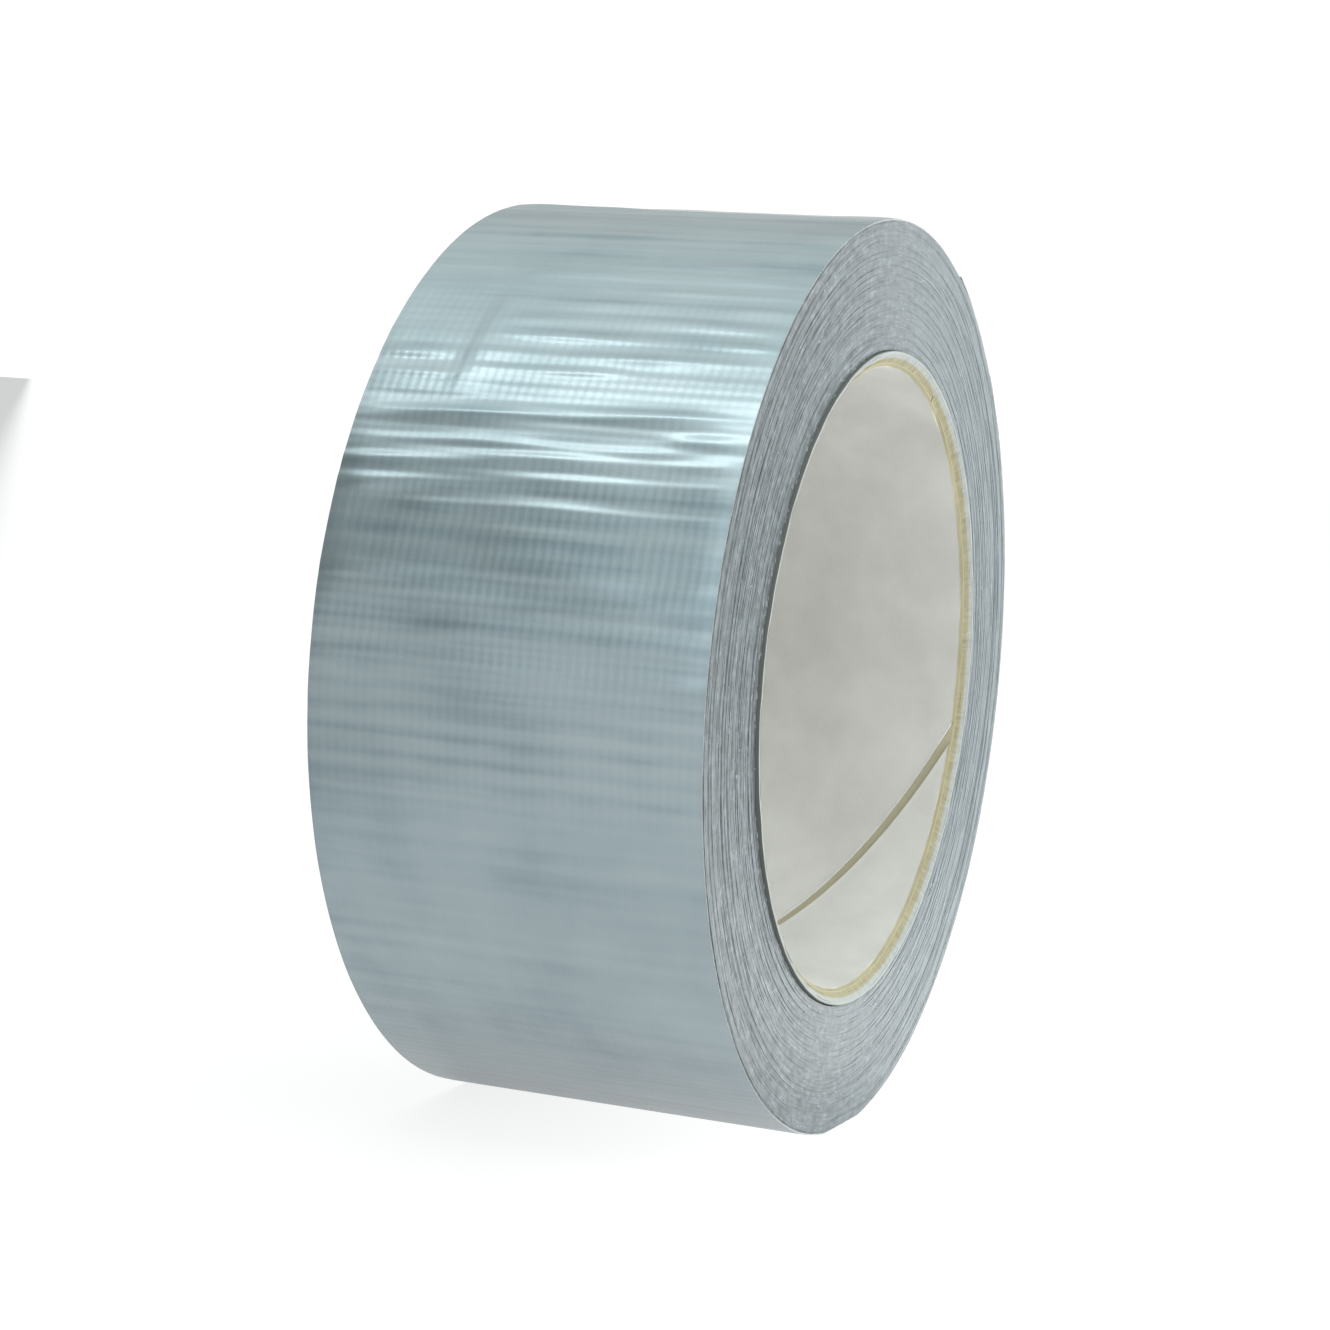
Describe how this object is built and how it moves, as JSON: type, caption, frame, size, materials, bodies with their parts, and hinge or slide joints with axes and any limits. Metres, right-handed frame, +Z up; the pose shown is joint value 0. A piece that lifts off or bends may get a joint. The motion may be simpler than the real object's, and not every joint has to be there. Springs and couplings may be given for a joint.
{
  "type": "duct tape roll",
  "caption": "Full roll of silver cloth-backed duct tape wound on a spiral paperboard core, with a loose end tab that peels back.",
  "frame": {"origin": "centre of the core's bore, at the middle of the roll's width", "axes": "+Y along the roll's axis; +Z up as the roll stands on its tread; the end tab is on the +X +Z side"},
  "size_m": [0.1119, 0.0486, 0.1115],
  "materials": {
    "core_paper": "matt off-white paper",
    "core_board": "matt tan board",
    "tape_roll": "slit edges of grey tape, satin with pale fibre flecks",
    "tape_film": "glossy silver-grey film with the weave showing through",
    "tape_scrim": "open cotton weave",
    "tape_adhesive": "tacky grey adhesive"
  },
  "bodies": {
    "roll": {"core_liner": "core_paper", "core_board_ply_1": "core_board", "core_board_ply_2": "core_board", "core_board_ply_3": "core_board", "core_jacket": "core_paper", "wound_tape": "tape_roll", "outer_turn_adhesive": "tape_adhesive", "outer_turn_scrim": "tape_scrim", "outer_turn_film": "tape_film"},
    "end_tab": {"end_tab_adhesive": "tape_adhesive", "end_tab_scrim": "tape_scrim", "end_tab_film": "tape_film"}
  },
  "joints": [
    {"name": "end_tab_peel", "type": "hinge", "parent": "roll", "child": "end_tab", "pos_m": [0.04064, 0, 0.0387], "axis": [0, 1, 0], "range_deg": [0, 110]}
  ]
}
